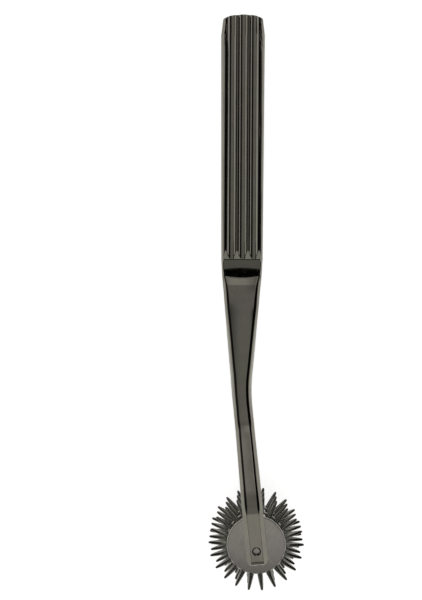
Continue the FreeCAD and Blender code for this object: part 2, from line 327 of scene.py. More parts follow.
def through(rows, column, at):
    """The value at a place of a smooth curve through a column of the rows, placed by their first."""
    i = min(max(bisect([row[0] for row in rows], at) - 1, 0), len(rows) - 2)
    x1, x2 = rows[i][0], rows[i + 1][0]
    y1, y2 = rows[i][column], rows[i + 1][column]
    if y1 == y2:
        return y1
    x0, y0 = (rows[i - 1][0], rows[i - 1][column]) if i else (2 * x1 - x2, y1)
    x3, y3 = (rows[i + 2][0], rows[i + 2][column]) if i + 2 < len(rows) else (2 * x2 - x1, y2)
    t = (at - x1) / (x2 - x1)
    leave = (y2 - y0) / (x2 - x0) * (x2 - x1)
    arrive = (y3 - y1) / (x3 - x1) * (x2 - x1)
    rise = y2 - y1
    return y1 + t * (leave + t * (3 * rise - 2 * leave - arrive + t * (leave + arrive - 2 * rise)))


def integrated(slopes):
    """Places and heights along a line whose slope, in degrees, is given at some places."""
    step = 0.05
    places, heights = [slopes[0][0]], [0.0]
    for (x0, slope0), (x1, slope1) in zip(slopes, slopes[1:]):
        count = max(round((x1 - x0) / step), 1)
        for k in range(count):
            slope = math.radians(lerp(slope0, slope1, (k + 0.5) / count))
            places.append(lerp(x0, x1, (k + 1) / count))
            heights.append(heights[-1] + math.tan(slope) * (x1 - x0) / count)
    return places, heights


def height_on(line, x):
    places, heights = line
    i = min(max(bisect(places, x) - 1, 0), len(places) - 2)
    share = (x - places[i]) / (places[i + 1] - places[i])
    return lerp(heights[i], heights[i + 1], min(max(share, 0.0), 1.0))


def rounded_path(corners, steps):
    """Points along a path of (x, y, radius) corners, each turned in so many steps."""
    path = []
    last = len(corners) - 1
    for i, (x, y, radius) in enumerate(corners):
        here = Vector((x, y))
        if i in (0, last) or not radius:
            path.append(here)
            continue
        back = (Vector(corners[i - 1][:2]) - here).normalized()
        ahead = (Vector(corners[i + 1][:2]) - here).normalized()
        half_turn = back.angle(ahead) / 2
        centre = here + (back + ahead).normalized() * (radius / math.sin(half_turn))
        start = here + back * (radius / math.tan(half_turn)) - centre
        end = here + ahead * (radius / math.tan(half_turn)) - centre
        sweep = start.angle_signed(end)
        for k in range(steps + 1):
            turned = start.copy()
            turned.rotate(Matrix.Rotation(-sweep * k / steps, 2))
            path.append(centre + turned)
    return path


class Curve:
    """A path that gives its place and its left-hand normal at any length along it."""

    def __init__(self, points):
        self.points = points
        self.lengths = [0.0]
        for a, b in zip(points, points[1:]):
            self.lengths.append(self.lengths[-1] + (b - a).length)

    def at(self, length):
        i = min(max(bisect(self.lengths, length) - 1, 0), len(self.points) - 2)
        share = (length - self.lengths[i]) / (self.lengths[i + 1] - self.lengths[i])
        return self.points[i].lerp(self.points[i + 1], min(max(share, 0.0), 1.0))

    def normal(self, length):
        step = 0.02
        way = self.at(length + step) - self.at(length - step)
        return Vector((-way.y, way.x)).normalized()

    def length_at_x(self, x):
        """The length at which the path first reaches an x."""
        for i, (a, b) in enumerate(zip(self.points, self.points[1:])):
            if a.x <= x <= b.x and b.x > a.x:
                return lerp(self.lengths[i], self.lengths[i + 1], (x - a.x) / (b.x - a.x))
        return self.lengths[-1]


class Skin:
    """Sheets of quads that become one closed mesh."""

    def __init__(self):
        self.vertices = []
        self.faces = []

    def sheet(self, rows):
        start = len(self.vertices)
        width = len(rows[0])
        for row in rows:
            self.vertices += [tuple(place) for place in row]
        for i in range(len(rows) - 1):
            for j in range(width - 1):
                low, high = start + i * width, start + (i + 1) * width
                self.faces.append((low + j, low + j + 1, high + j + 1, high + j))

    def piece(self, name, weld=weld_distance):
        mesh = bpy.data.meshes.new(name)
        mesh.from_pydata(self.vertices, [], self.faces)
        shell = bmesh.new()
        shell.from_mesh(mesh)
        bmesh.ops.remove_doubles(shell, verts=shell.verts, dist=weld)
        bmesh.ops.dissolve_degenerate(shell, edges=shell.edges, dist=weld)
        bmesh.ops.recalc_face_normals(shell, faces=shell.faces)
        shell.to_mesh(mesh)
        shell.free()
        mesh.transform(placed)
        for face in mesh.polygons:
            face.use_smooth = True
        piece = bpy.data.objects.new(name, mesh)
        bpy.context.scene.collection.objects.link(piece)
        return piece


def bend(place):
    """A place beyond the bend, swung sideways with the fork."""
    x, y, z = place
    cos, sin = math.cos(bend_angle), math.sin(bend_angle)
    return Vector((bend_x + (x - bend_x) * cos - y * sin, (x - bend_x) * sin + y * cos, z))


def bend_softly(place):
    """A place on the shank, swung by as much of the bend as has been made there."""
    x, y, z = place
    start = bend_x - bend_half_length
    if x <= start:
        return Vector(place)
    if x >= bend_x + bend_half_length:
        return bend(place)
    turned = bend_angle * (x - start) / (2 * bend_half_length)
    radius = 2 * bend_half_length / bend_angle
    middle = Vector((start + radius * math.sin(turned), radius * (1 - math.cos(turned)), 0))
    return middle + Vector((-y * math.sin(turned), y * math.cos(turned), z))


def placement():
    """From millimetres in the instrument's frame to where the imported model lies."""
    middle_wheel = next(joint for joint in frame["joints"] if joint["name"] == "middle_wheel_spin")
    axis = middle_wheel["axis"]
    tilt = Matrix.Rotation(math.atan2(axis[0], axis[2]), 4, "Y")
    turned = tilt @ (bend((axle_x, 0, 0)) * MM)
    shift = Vector(middle_wheel["pos_m"]) - turned
    return Matrix.Translation(shift) @ tilt @ Matrix.Scale(MM, 4)


placed = placement()
wheel_frame = placed @ Matrix.Translation(bend((axle_x, 0, 0))) @ Matrix.Rotation(bend_angle, 4, "Z")


# The handle


def groove_centres():
    first = groove_shift - groove_pitch * (grooves - 1) / 2
    return [first + i * groove_pitch for i in range(grooves)]


def corner_profile(side_leg, face_leg, side_radius, face_radius):
    """A bevelled corner as (in from the side, down from the face) pairs, from side to face."""
    beyond = side_radius + face_radius
    path = rounded_path(
        (
            (0, side_leg + beyond, 0),
            (0, side_leg, side_radius),
            (face_leg, 0, face_radius),
            (face_leg + beyond, 0, 0),
        ),
        corner_steps,
    )[1:-1]
    first, second = path[: corner_steps + 1], path[corner_steps + 1 :]
    between = [first[-1].lerp(second[0], k / bevel_steps) for k in range(1, bevel_steps)]
    return first + between + second


def face_columns():
    """Places across the grip's face at which it has its lines of vertices."""
    marks = set()
    for centre in groove_centres():
        for side, slopes in ((1, right_groove_slopes), (-1, left_groove_slopes)):
            places = [place for place, _ in slopes]
            places += [(a + b) / 2 for a, b in zip(places, places[1:])]
            marks |= {round(centre + side * place, 3) for place in places}
    within = {mark for mark in marks if abs(mark) < columns_reach}
    return sorted(within | {columns_reach, -columns_reach}, reverse=True)


def column_places(edge, columns, on_grip):
    """The columns' places on a face that ends at the edge: kept on the grip, in proportion beyond.

    Where the grip's face narrows, the inner grooves keep theirs and the outer ones draw together.
    """
    if on_grip:
        squeeze = min(1.0, (edge - columns_margin - columns_held) / (columns_reach - columns_held))
        kept = [max(-columns_held, min(column, columns_held)) for column in columns]
        places = [inner + (column - inner) * squeeze for column, inner in zip(columns, kept)]
    else:
        places = [column * edge / grip_edge_y for column in columns]
    outer = spread(edge, places[0], columns_beyond)[1:-1]
    return outer + places + [-place for place in reversed(outer)]


def side_profile(half_breadth, side_leg, face_leg, radii, columns, face_drop, on_grip=False):
    """(y, down) pairs across a broad side, from one side's corner to the other's.

    `face_drop` tells how far the face lies below its highest level at a y.
    """
    bevel_y = half_breadth - face_leg
    corner = corner_profile(side_leg - face_drop(bevel_y), face_leg, *radii)
    right = []
    for inward, down in corner:
        y = half_breadth - inward
        right.append((y, face_drop(min(y, bevel_y)) + down))
    flat = [(y, face_drop(y)) for y in column_places(right[-1][0], columns, on_grip)]
    left = [(-y, down) for y, down in reversed(right)]
    return right + flat + left


right_groove_line = integrated(right_groove_slopes)
left_groove_line = integrated(left_groove_slopes)


def groove_height(x, y):
    """The height of the grooves over the middle plane, or nothing away from them."""
    centres = groove_centres()
    nearest = min(centres, key=lambda centre: abs(y - centre))
    away = y - nearest
    places, heights = line = right_groove_line if away > 0 else left_groove_line
    if abs(away) >= places[-1] or x >= grip_length:
        return None
    floor = grip_half_thickness - heights[-1] + height_on(line, abs(away))
    if nearest in (centres[0], centres[-1]):
        floor -= outer_groove_drop * max(1 - abs(away) / outer_groove_drop_half, 0.0)
    ramp = grip_half_thickness - (grip_length - x) * math.tan(groove_ramp_angle)
    return -soft_min(-floor, -ramp, groove_softness)


@lru_cache(maxsize=None)
def waist_line(y):
    """Places and heights along the waist's floor at so far from the middle line."""
    aside = (y / waist_side_y) ** 2
    slopes = [(place + move * aside, -slope) for place, move, slope in waist_slopes]
    places, rises = integrated(slopes)
    return places, [grip_half_thickness + rise for rise in rises]


shank_line = integrated(shank_slopes)


def shank_height(x, y):
    """The height of the shank's broad side, which is hollow at the waist and crowned beyond it."""
    middle = neck_half_thickness - shank_line[1][-1] + height_on(shank_line, x)
    share = smooth_share(x, crown_starts, crown_full)
    return middle + y * y / 2 * lerp(1 / shank_hollow_radius, -1 / crown_radius, share)


def face_height(x, y):
    """The broad side's height over the middle plane, without its grooves."""
    if x <= grip_length:
        return grip_half_thickness
    if x > waist_meets_shank[1]:
        return shank_height(x, y)
    floor = height_on(waist_line(round(abs(y), 2)), x)
    if x <= waist_meets_shank[0]:
        return floor
    return soft_min(floor, shank_height(x, y), waist_softness)


def blade_size(x):
    """Half breadth, half thickness, face bevel and top of the narrow side at a place on the bar."""
    share = max((x - grip_length) / (neck_x - grip_length), 0.0)
    if share:
        half_breadth = lerp(grip_half_breadth, neck_half_breadth, through(blade_rows, 1, share))
    else:
        half_breadth = lerp(grip_end_half_breadth, grip_half_breadth, x / grip_length)
    half_thickness = lerp(grip_half_thickness, neck_half_thickness, through(blade_rows, 2, share))
    face_bevel = through(blade_rows, 3, share) * half_breadth
    face_bevel += end_bevel_widening * max(1 - x / end_bevel_length, 0.0)
    return half_breadth, half_thickness, face_bevel, half_thickness * through(blade_rows, 4, share)


def grip_face_edge():
    """Where the grip's face ends at its waist end, beside the rounding of the bevel's edge."""
    half_breadth, half_thickness, face_leg, wall_top = blade_size(grip_length)
    corner = corner_profile(half_thickness - wall_top, face_leg, grip_edge_radius, grip_edge_radius)
    return half_breadth - corner[-1].x


grip_edge_y = grip_face_edge()


def end_outline():
    """The plan of the grip's end: functions for its x at a y, and its half breadth at an x."""
    taper_half = blade_size(end_taper_length)[0]
    half_end = taper_half - end_taper
    dome_radius = (half_end**2 + end_dome**2) / (2 * end_dome)
    corner_y = half_end - end_corner_radius
    corner_x = dome_radius - math.sqrt((dome_radius - end_corner_radius) ** 2 - corner_y**2)
    meeting_y = corner_y * dome_radius / (dome_radius - end_corner_radius)
    diagonal = end_corner_radius * math.sqrt(0.5)

    def x_at(y):
        if abs(y) <= meeting_y:
            return dome_radius - math.sqrt(dome_radius**2 - y * y)
        return corner_x - math.sqrt(max(end_corner_radius**2 - (abs(y) - corner_y) ** 2, 0.0))

    def half_at(x):
        if x >= end_taper_length:
            return blade_size(x)[0]
        if x >= corner_x:
            return lerp(half_end, taper_half, (x - corner_x) / (end_taper_length - corner_x))
        return corner_y + math.sqrt(end_corner_radius**2 - (corner_x - x) ** 2)

    return x_at, half_at, corner_x - diagonal, corner_y + diagonal


def handle_stations():
    """Places along the grip and the blade at which the skin has a ring of vertices."""
    start = end_outline()[2]
    stations = [start + inset for inset in near_end_insets]
    for low, high, steps in bar_runs:
        stations += spread(low, high, steps)
    return stations


def bar_ring(x, columns, plan):
    """The upper face of the bar at a station, from one side's corner to the other's."""
    x_at, half_at, start, corner_half = plan
    half_breadth, half_thickness, face_leg, wall_top = blade_size(x)
    if x < end_taper_length:
        half_breadth = half_at(x)
    beyond_grip = smooth_share(x, shank_edge_starts, shank_edge_full)
    face_radius = lerp(grip_edge_radius, shank_edge_radius, beyond_grip)
    radii = (min(face_radius, bevel_side_radius, wall_top), face_radius)

    def face_drop(y):
        return half_thickness - min(face_height(x, y), half_thickness)

    profile = side_profile(
        half_breadth, half_thickness - wall_top, face_leg, radii, columns, face_drop, x <= grip_length
    )
    ring = []
    for y, down in profile:
        z = half_thickness - down
        inset = x - start
        if inset < end_edge_radius:
            lowered = end_edge_radius - math.sqrt(end_edge_radius**2 - (end_edge_radius - inset) ** 2)
            z -= lowered * (z - wall_top) / (half_thickness - wall_top)
        groove = groove_height(x, y)
        if groove is not None:
            z = soft_min(z, groove, groove_softness)
        fade = max(1 - inset / end_blend_length, 0.0) ** end_blend_power
        edge_x = x_at(y / half_breadth * corner_half)
        ring.append(Vector((x + (edge_x - start) * fade, y, z)))
    return ring


def bar_skin(skin, columns):
    plan = end_outline()
    uppers = [bar_ring(x, columns, plan) for x in handle_stations()]
    skin.sheet([[bend_softly(place) for place in row] for row in uppers])
    skin.sheet([[bend_softly((p.x, p.y, -p.z)) for p in row] for row in uppers])
    for side in (0, -1):
        wall = []
        for row in uppers:
            top = row[side]
            heights = spread(top.z, -top.z, 2 * wall_steps)
            wall.append([bend_softly((top.x, top.y, z)) for z in heights])
        skin.sheet(wall)
    cap = [[Vector((p.x, p.y, z)) for z in spread(p.z, -p.z, 2 * wall_steps)] for p in uppers[0]]
    skin.sheet(cap)


def fork_paths():
    """The outside and the inside of the fork's upper half, in the XZ plane."""
    root_x = shoulder_x - (fork_half_width - neck_half_thickness) / math.tan(branch_outer_angle)
    inner_shoulder_x = shoulder_x + inner_shoulder_beyond_outer
    crotch_x = inner_shoulder_x - fork_half_gap / math.tan(branch_inner_angle)
    apex_x = crotch_x + crotch_radius / math.sin(branch_inner_angle) - crotch_radius
    middle_z = (fork_half_width + fork_half_gap) / 2
    outside = rounded_path(
        (
            (neck_x, neck_half_thickness, 0),
            (root_x, neck_half_thickness, root_radius),
            (shoulder_x, fork_half_width, shoulder_outer_radius),
            (arm_tip_x, fork_half_width, arm_tip_outer_radius),
            (arm_tip_x, middle_z, 0),
        ),
        path_steps,
    )
    # The corner's radius is a little under the crotch's, so that its arc fits into the lead
    lead = crotch_radius * math.tan((math.pi / 2 - branch_inner_angle) / 2)
    fitting_radius = crotch_radius * 0.999
    inside = rounded_path(
        (
            (apex_x, 0, 0),
            (apex_x, lead, fitting_radius),
            (inner_shoulder_x, fork_half_gap, shoulder_inner_radius),
            (arm_tip_x, fork_half_gap, arm_tip_inner_radius),
            (arm_tip_x, middle_z, 0),
        ),
        path_steps,
    )
    return Curve(outside), Curve(inside), apex_x


def fork_rings():
    """Pairs of lengths along the outside and the inside that face each other across an arm.

    The first pairs, along the neck, have no inside.
    """
    outside, inside, apex_x = fork_paths()
    across_apex = outside.length_at_x(apex_x + outside_at_crotch)
    starts = (apex_x, shoulder_x, arm_tip_x, arm_tip_x)
    facing = [(across_apex, 0.0)]
    for x, (out_shift, in_shift) in zip(starts, (throat_shifts, arm_shifts, tip_shifts, corner_shifts)):
        facing.append((outside.length_at_x(x + out_shift), inside.length_at_x(x + in_shift)))
    facing.append((outside.lengths[-1], inside.lengths[-1]))
    pairs = [(length, None) for length in spread(0.0, across_apex, neck_steps)[:-1]]
    pairs.append(facing[0])
    for (out0, in0), (out1, in1), steps in zip(facing, facing[1:], fork_run_steps):
        pairs += list(zip(spread(out0, out1, steps)[1:], spread(in0, in1, steps)[1:]))
    return outside, inside, apex_x, pairs


def plan_half_breadth(x):
    """Half the fork's breadth seen from its broad side, with the arm tips' round corners."""
    half = lerp(neck_half_breadth, arm_half_breadth, smooth_share(x, arm_breadth_starts, shoulder_x))
    beyond = max(x - tip_corner_start, 0.0)
    return half - arm_tip_corner_radius + math.sqrt(max(arm_tip_corner_radius**2 - beyond**2, 0.0))


def outer_profile(place, normal, columns):
    """(y, down) pairs across the outside of a branch or arm, whose crown fades out on the arm."""
    crown = 1 - smooth_share(place.x, crown_ends, crown_gone)
    endwards = max(normal.x, 0.0) ** 2
    crowned_leg = lerp(neck_face_bevel, branch_face_bevel, smooth_share(place.x, *branch_bevel_grows))
    face_leg = lerp(lerp(neck_side_bevel, crowned_leg, crown), tip_corner_leg, endwards)
    side_leg = lerp(neck_side_bevel, tip_corner_leg, endwards)
    radius = lerp(arm_edge_radius, shank_edge_radius, crown)
    radius = lerp(radius, tip_edge_radius, endwards)
    turned_to_end = normal.x >= end_normal_share
    half = plan_half_breadth(tip_corner_start if turned_to_end else place.x)
    on_branch = smooth_share(place.x, *branch_hollow_grows)
    curvature = lerp(1 / crown_radius, -1 / branch_hollow_radius, on_branch)

    def face_drop(y):
        return crown * (curvature * y * y - min(curvature, 0.0) * half * half) / 2

    side_radius = lerp(min(radius, bevel_side_radius), radius, endwards)
    return side_profile(half, side_leg, face_leg, (side_radius, radius), columns, face_drop)


def inner_profile(spot, inward, columns):
    """(y, down) pairs across the inside of a branch or arm."""
    endwards = max(-inward.x, 0.0) ** 2 if spot.x > tip_rounding_starts else 0.0
    leg = lerp(inner_edge_bevel, tip_corner_leg, endwards)
    radius = lerp(inner_edge_radius, tip_edge_radius, endwards)
    half = plan_half_breadth(min(spot.x, tip_corner_start))
    right = [(half - inset, down) for inset, down in corner_profile(leg, leg, radius, radius)]
    flat = [(y, 0.0) for y in column_places(right[-1][0], columns, False)]
    return right + flat + [(-y, down) for y, down in reversed(right)]


def fork_skin(skin, columns):
    outside, inside, apex_x, pairs = fork_rings()
    outer_rows, inner_rows, walls = [], [], ([], [])
    first_inside = next(length for length, facing in pairs if facing is not None)
    seam_end = apex_x - inner_edge_bevel - inner_edge_radius * math.tan(math.pi / 8)
    for out_length, in_length in pairs:
        place, normal = outside.at(out_length), outside.normal(out_length)
        profile = outer_profile(place, normal, columns)
        outer = [Vector((place.x - normal.x * d, y, place.y - normal.y * d)) for y, d in profile]
        outer_rows.append(outer)
        if in_length is None:
            seam = Vector((lerp(neck_x, seam_end, out_length / first_inside), outer[0].y, 0))
            edges = (seam, Vector((seam.x, -seam.y, 0)))
        else:
            spot, inward = inside.at(in_length), inside.normal(in_length)
            rows = inner_profile(spot, inward, columns)
            inner = [Vector((spot.x + inward.x * d, y, spot.y + inward.y * d)) for y, d in rows]
            if not in_length:
                inner = [Vector((place.x, place.y, 0)) for place in inner]
            inner_rows.append(inner)
            edges = (inner[0], inner[-1])
        for wall, top, foot in zip(walls, (outer[0], outer[-1]), edges):
            wall.append([top.lerp(foot, k / wall_steps) for k in range(wall_steps + 1)])
    for rows in (outer_rows, inner_rows, *walls):
        bent_rows = [[bend(place) for place in row] for row in rows]
        skin.sheet(bent_rows)
        skin.sheet([[Vector((p.x, p.y, -p.z)) for p in row] for row in bent_rows])


def handle():
    columns = face_columns()
    skin = Skin()
    bar_skin(skin, columns)
    fork_skin(skin, columns)
    return skin.piece("plated_handle", handle_weld_distance)


# Round pieces


def turned_piece(name, profile, segments, height=0.0):
    """A (radius, z) profile turned about the axle's line, at a height on it."""
    skin = Skin()
    rings = []
    for k in range(segments + 1):
        angle = 2 * math.pi * k / segments
        cos, sin = math.cos(angle), math.sin(angle)
        rings.append([bend((axle_x + r * cos, r * sin, height + z)) for r, z in profile])
    skin.sheet(rings)
    return skin.piece(name)


def ring_profile(bore, radius, half, bevel, steps):
    """The closed section of a disc or sleeve with a bore, bevelled outside, with soft edges."""
    soft = bevel * edge_radius_share
    return rounded_path(
        (
            (bore, 0, 0),
            (bore, half, bore_edge_radius),
            (radius - bevel, half, soft),
            (radius, half - bevel, soft),
            (radius, bevel - half, soft),
            (radius - bevel, -half, soft),
            (bore, -half, bore_edge_radius),
            (bore, 0, 0),
        ),
        steps,
    )


def hub(name, height):
    bore = axle_radius + hub_clearance
    profile = ring_profile(bore, hub_radius, hub_thickness / 2, hub_bevel, hub_edge_steps)
    return turned_piece(name, profile, hub_segments, height)


def spacer(name, low, high):
    bore = axle_radius + spacer_clearance
    profile = ring_profile(bore, spacer_radius, (high - low) / 2, spacer_bevel, sleeve_edge_steps)
    return turned_piece(name, profile, sleeve_segments, (low + high) / 2)


def axle():
    """The rod, its ends faced flat with a soft bevel round them."""
    half = fork_half_width
    side_radius, face_radius = axle_bevel_radii
    end = (
        (axle_radius, half - axle_end_reach, 0),
        (axle_radius, half - axle_end_bevel, side_radius),
        (axle_radius - axle_end_bevel, half, face_radius),
        (axle_face_ring, half, 0),
        (0.0, half, 0),
    )
    upper = rounded_path(end, rod_edge_steps)
    lower = [Vector((point.x, -point.y)) for point in upper]
    return turned_piece("axle_rod", list(reversed(upper)) + lower, rod_segments)


def pin_outline():
    """A pin's half widths round the wheel and along the axle, from its tenon to its point."""
    outline = [
        (-pin_tenon_length, 0.0, 0.0),
        (-pin_tenon_length, pin_tenon_radius, pin_tenon_radius),
        (0.0, pin_tenon_radius, pin_tenon_radius),
        pin_rows[0],
    ]
    last_out, last_wide, last_thick = pin_rows[-1]
    for out in spread(0.0, last_out, pin_length_steps)[1:]:
        outline.append((out, through(pin_rows, 1, out), through(pin_rows, 2, out)))
    for turned in pin_point_turns:
        share = math.cos(turned * math.pi / 2)
        out = lerp(last_out, pin_length, math.sin(turned * math.pi / 2))
        outline.append((out, last_wide * share, last_thick * share))
    return outline


def pins(name, phase, height):
    """The ring of pointed pins of one wheel."""
    outline = pin_outline()
    skin = Skin()
    for i in range(pins_per_wheel):
        way = math.radians(phase) + 2 * math.pi * i / pins_per_wheel
        cos, sin = math.cos(way), math.sin(way)
        rows = []
        for k in range(pin_segments + 1):
            angle = 2 * math.pi * k / pin_segments
            row = []
            for out, wide, thick in outline:
                x, y, z = pin_seat + out, wide * math.cos(angle), thick * math.sin(angle)
                row.append(bend((axle_x + x * cos - y * sin, x * sin + y * cos, height + z)))
            rows.append(row)
        skin.sheet(rows)
    return skin.piece(name)


def axle_cutter():
    """What the hole in the arms takes away: a bore whose mouths open a little."""
    radius = axle_radius + axle_clearance
    reach = fork_half_width
    slope = axle_mouth_reach / axle_mouth_depth
    mouth_radius = radius + axle_mouth_reach
    upper = [
        Vector((0.0, reach + cutter_overshoot)),
        Vector((mouth_radius + cutter_overshoot * slope, reach + cutter_overshoot)),
        Vector((radius, reach - axle_mouth_depth)),
    ]
    lower = [Vector((point.x, -point.y)) for point in reversed(upper)]
    return turned_piece("axle_cutter", upper + lower, cutter_segments)


def bored(piece, cutter):
    """The piece with the cutter's space taken out of it."""
    cut = piece.modifiers.new("bore", "BOOLEAN")
    cut.operation = "DIFFERENCE"
    cut.solver = "EXACT"
    cut.object = cutter
    depsgraph = bpy.context.evaluated_depsgraph_get()
    result = bpy.data.meshes.new_from_object(piece.evaluated_get(depsgraph))
    piece.modifiers.clear()
    result.set_sharp_from_angle(angle=sharp_edge)
    piece.data = result
    bpy.data.objects.remove(cutter)
    return piece


# Materials


class Shading:
    """A node tree with short ways to add its nodes. Each method gives the new node's output."""

    def __init__(self, tree):
        self.nodes = tree.nodes
        self.links = tree.links

    def join(self, value, socket):
        if isinstance(value, bpy.types.NodeSocket):
            self.links.new(value, socket)
        else:
            socket.default_value = value

    def math(self, operation, *values):
        node = self.nodes.new("ShaderNodeMath")
        node.operation = operation
        for value, socket in zip(values, node.inputs):
            self.join(value, socket)
        return node.outputs[0]

    def share(self, value, low, high, to_low=0.0, to_high=1.0):
        """The value carried from one range to another, held at the ends."""
        node = self.nodes.new("ShaderNodeMapRange")
        ranges = {"Value": value, "From Min": low, "From Max": high, "To Min": to_low, "To Max": to_high}
        for name, given in ranges.items():
            self.join(given, node.inputs[name])
        return node.outputs["Result"]

    def stretched(self, vector, scale):
        node = self.nodes.new("ShaderNodeVectorMath")
        node.operation = "MULTIPLY"
        self.join(vector, node.inputs[0])
        node.inputs[1].default_value = scale
        return node.outputs["Vector"]

    def vector(self, x, y, z):
        node = self.nodes.new("ShaderNodeCombineXYZ")
        for value, socket in zip((x, y, z), node.inputs):
            self.join(value, socket)
        return node.outputs["Vector"]

    def parts(self, vector):
        node = self.nodes.new("ShaderNodeSeparateXYZ")
        self.join(vector, node.inputs[0])
        return node.outputs

    def noise(self, vector, scale, detail=2.0):
        node = self.nodes.new("ShaderNodeTexNoise")
        self.join(vector, node.inputs["Vector"])
        node.inputs["Scale"].default_value = scale
        node.inputs["Detail"].default_value = detail
        return node.outputs["Fac"]

    def mix(self, share, first, second, kind="MIX"):
        node = self.nodes.new("ShaderNodeMix")
        node.data_type = "RGBA"
        node.blend_type = kind
        self.join(share, node.inputs["Factor"])
        for value, socket in zip((first, second), (node.inputs[6], node.inputs[7])):
            self.join(value, socket)
        return node.outputs[2]

    def bump(self, height, distance, normal=None):
        node = self.nodes.new("ShaderNodeBump")
        node.inputs["Strength"].default_value = 1.0
        node.inputs["Distance"].default_value = distance
        self.join(height, node.inputs["Height"])
        if normal:
            self.join(normal, node.inputs["Normal"])
        return node.outputs["Normal"]

    def drawn_place(self, drawing):
        """The place in millimetres in a drawing's frame. It goes along with the piece."""
        place = self.nodes.new("ShaderNodeTexCoord")
        into = self.nodes.new("ShaderNodeMapping")
        shift, turn, size = drawing.inverted().decompose()
        into.inputs["Location"].default_value = shift
        into.inputs["Rotation"].default_value = turn.to_euler()
        into.inputs["Scale"].default_value = size
        self.links.new(place.outputs["Object"], into.inputs["Vector"])
        return into.outputs["Vector"]


def grey(level):
    return (level, level, level, 1.0)


def tinted(colour, red, green, blue):
    return (colour[0] * red, colour[1] * green, colour[2] * blue, 1.0)


def plated_metal(name, colour, roughness, drawing, marks_of, worn_at=None, edge_level=1.0):
    """Polished dark nickel: drifting olive and plum tints, polishing marks, smudges, bright edges.

    `marks_of` turns the place into the vector along which the polishing marks run. `worn_at` gives
    a share of wear from the place. `edge_level` is how bright the metal gets at grazing angles.
    """
    material = bpy.data.materials.new(name)
    material.use_nodes = True
    shading = Shading(material.node_tree)
    shader = shading.nodes["Principled BSDF"]
    shader.inputs["Metallic"].default_value = 1.0
    shader.inputs["Base Color"].default_value = (*colour, 1.0)
    shader.inputs["Roughness"].default_value = roughness
    shader.inputs["Specular Tint"].default_value = grey(edge_level)
    place = shading.drawn_place(drawing)
    marks = shading.noise(marks_of(shading, place), 1.0, 3.0)
    cloud = shading.noise(place, cloud_scale, 2.0)
    smudge = shading.noise(place, smudge_scale, 4.0)

    olive, plum = tinted(colour, *olive_tint), tinted(colour, *plum_tint)
    tint = shading.mix(shading.share(cloud, *tint_range), olive, plum)
    fine = shading.share(marks, *marks_range, *marks_level)
    broad = shading.share(smudge, *smudge_range, *smudge_level)
    level = shading.math("MULTIPLY", fine, broad)
    base = shading.mix(1.0, tint, shading.vector(level, level, level), "MULTIPLY")
    geometry = shading.nodes.new("ShaderNodeNewGeometry")
    pointed = geometry.outputs["Pointiness"]
    wear = shading.share(pointed, worn_edge_from, worn_edge_to, 0.0, worn_edge_share)
    if worn_at:
        wear = shading.math("MAXIMUM", wear, worn_at(shading, place))
    worn_metal = shading.mix(wear, base, tinted(colour, *worn_tint))
    shading.join(worn_metal, shader.inputs["Base Color"])

    scuffs = shading.share(marks, *scuff_range, *scuff_roughness)
    haze = shading.share(smudge, *haze_range, *haze_roughness)
    rough = shading.math("ADD", shading.math("ADD", scuffs, haze), roughness)
    worn_rough = shading.math("ADD", rough, shading.math("MULTIPLY", wear, wear_roughness))
    shading.join(worn_rough, shader.inputs["Roughness"])

    peel = shading.bump(shading.noise(place, peel_scale, 1.0), peel_depth)
    shading.join(shading.bump(marks, marks_depth, peel), shader.inputs["Normal"])
    return material


def lengthwise(shading, place):
    return shading.stretched(place, handle_marks)


def from_the_axle(shading, place):
    """How far a place in the wheels' frame is from the axle's line, and its height along it."""
    x, y, z = shading.parts(place)
    squares = shading.math("ADD", shading.math("MULTIPLY", x, x), shading.math("MULTIPLY", y, y))
    return shading.math("SQRT", squares), z


def round_the_axle(shading, place):
    radius, height = from_the_axle(shading, place)
    across = shading.math("MULTIPLY", radius, turned_marks)
    return shading.vector(across, 0.0, shading.math("MULTIPLY", height, turned_marks))


def worn_points(shading, place):
    """Wear towards the points of the pins."""
    radius = from_the_axle(shading, place)[0]
    return shading.share(radius, worn_point_from, worn_point_to, 0.0, worn_point_share)


def wear_and_place(piece, material, body, slot, *nodes):
    piece.data.materials.clear()
    piece.data.materials.append(material)
    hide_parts(*nodes)
    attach(piece, body)


def flat_shading(piece):
    """Keeps flats flat beside rounded edges."""
    weighted = piece.modifiers.new("flats", "WEIGHTED_NORMAL")
    weighted.keep_sharp = True
    weighted.weight = 50


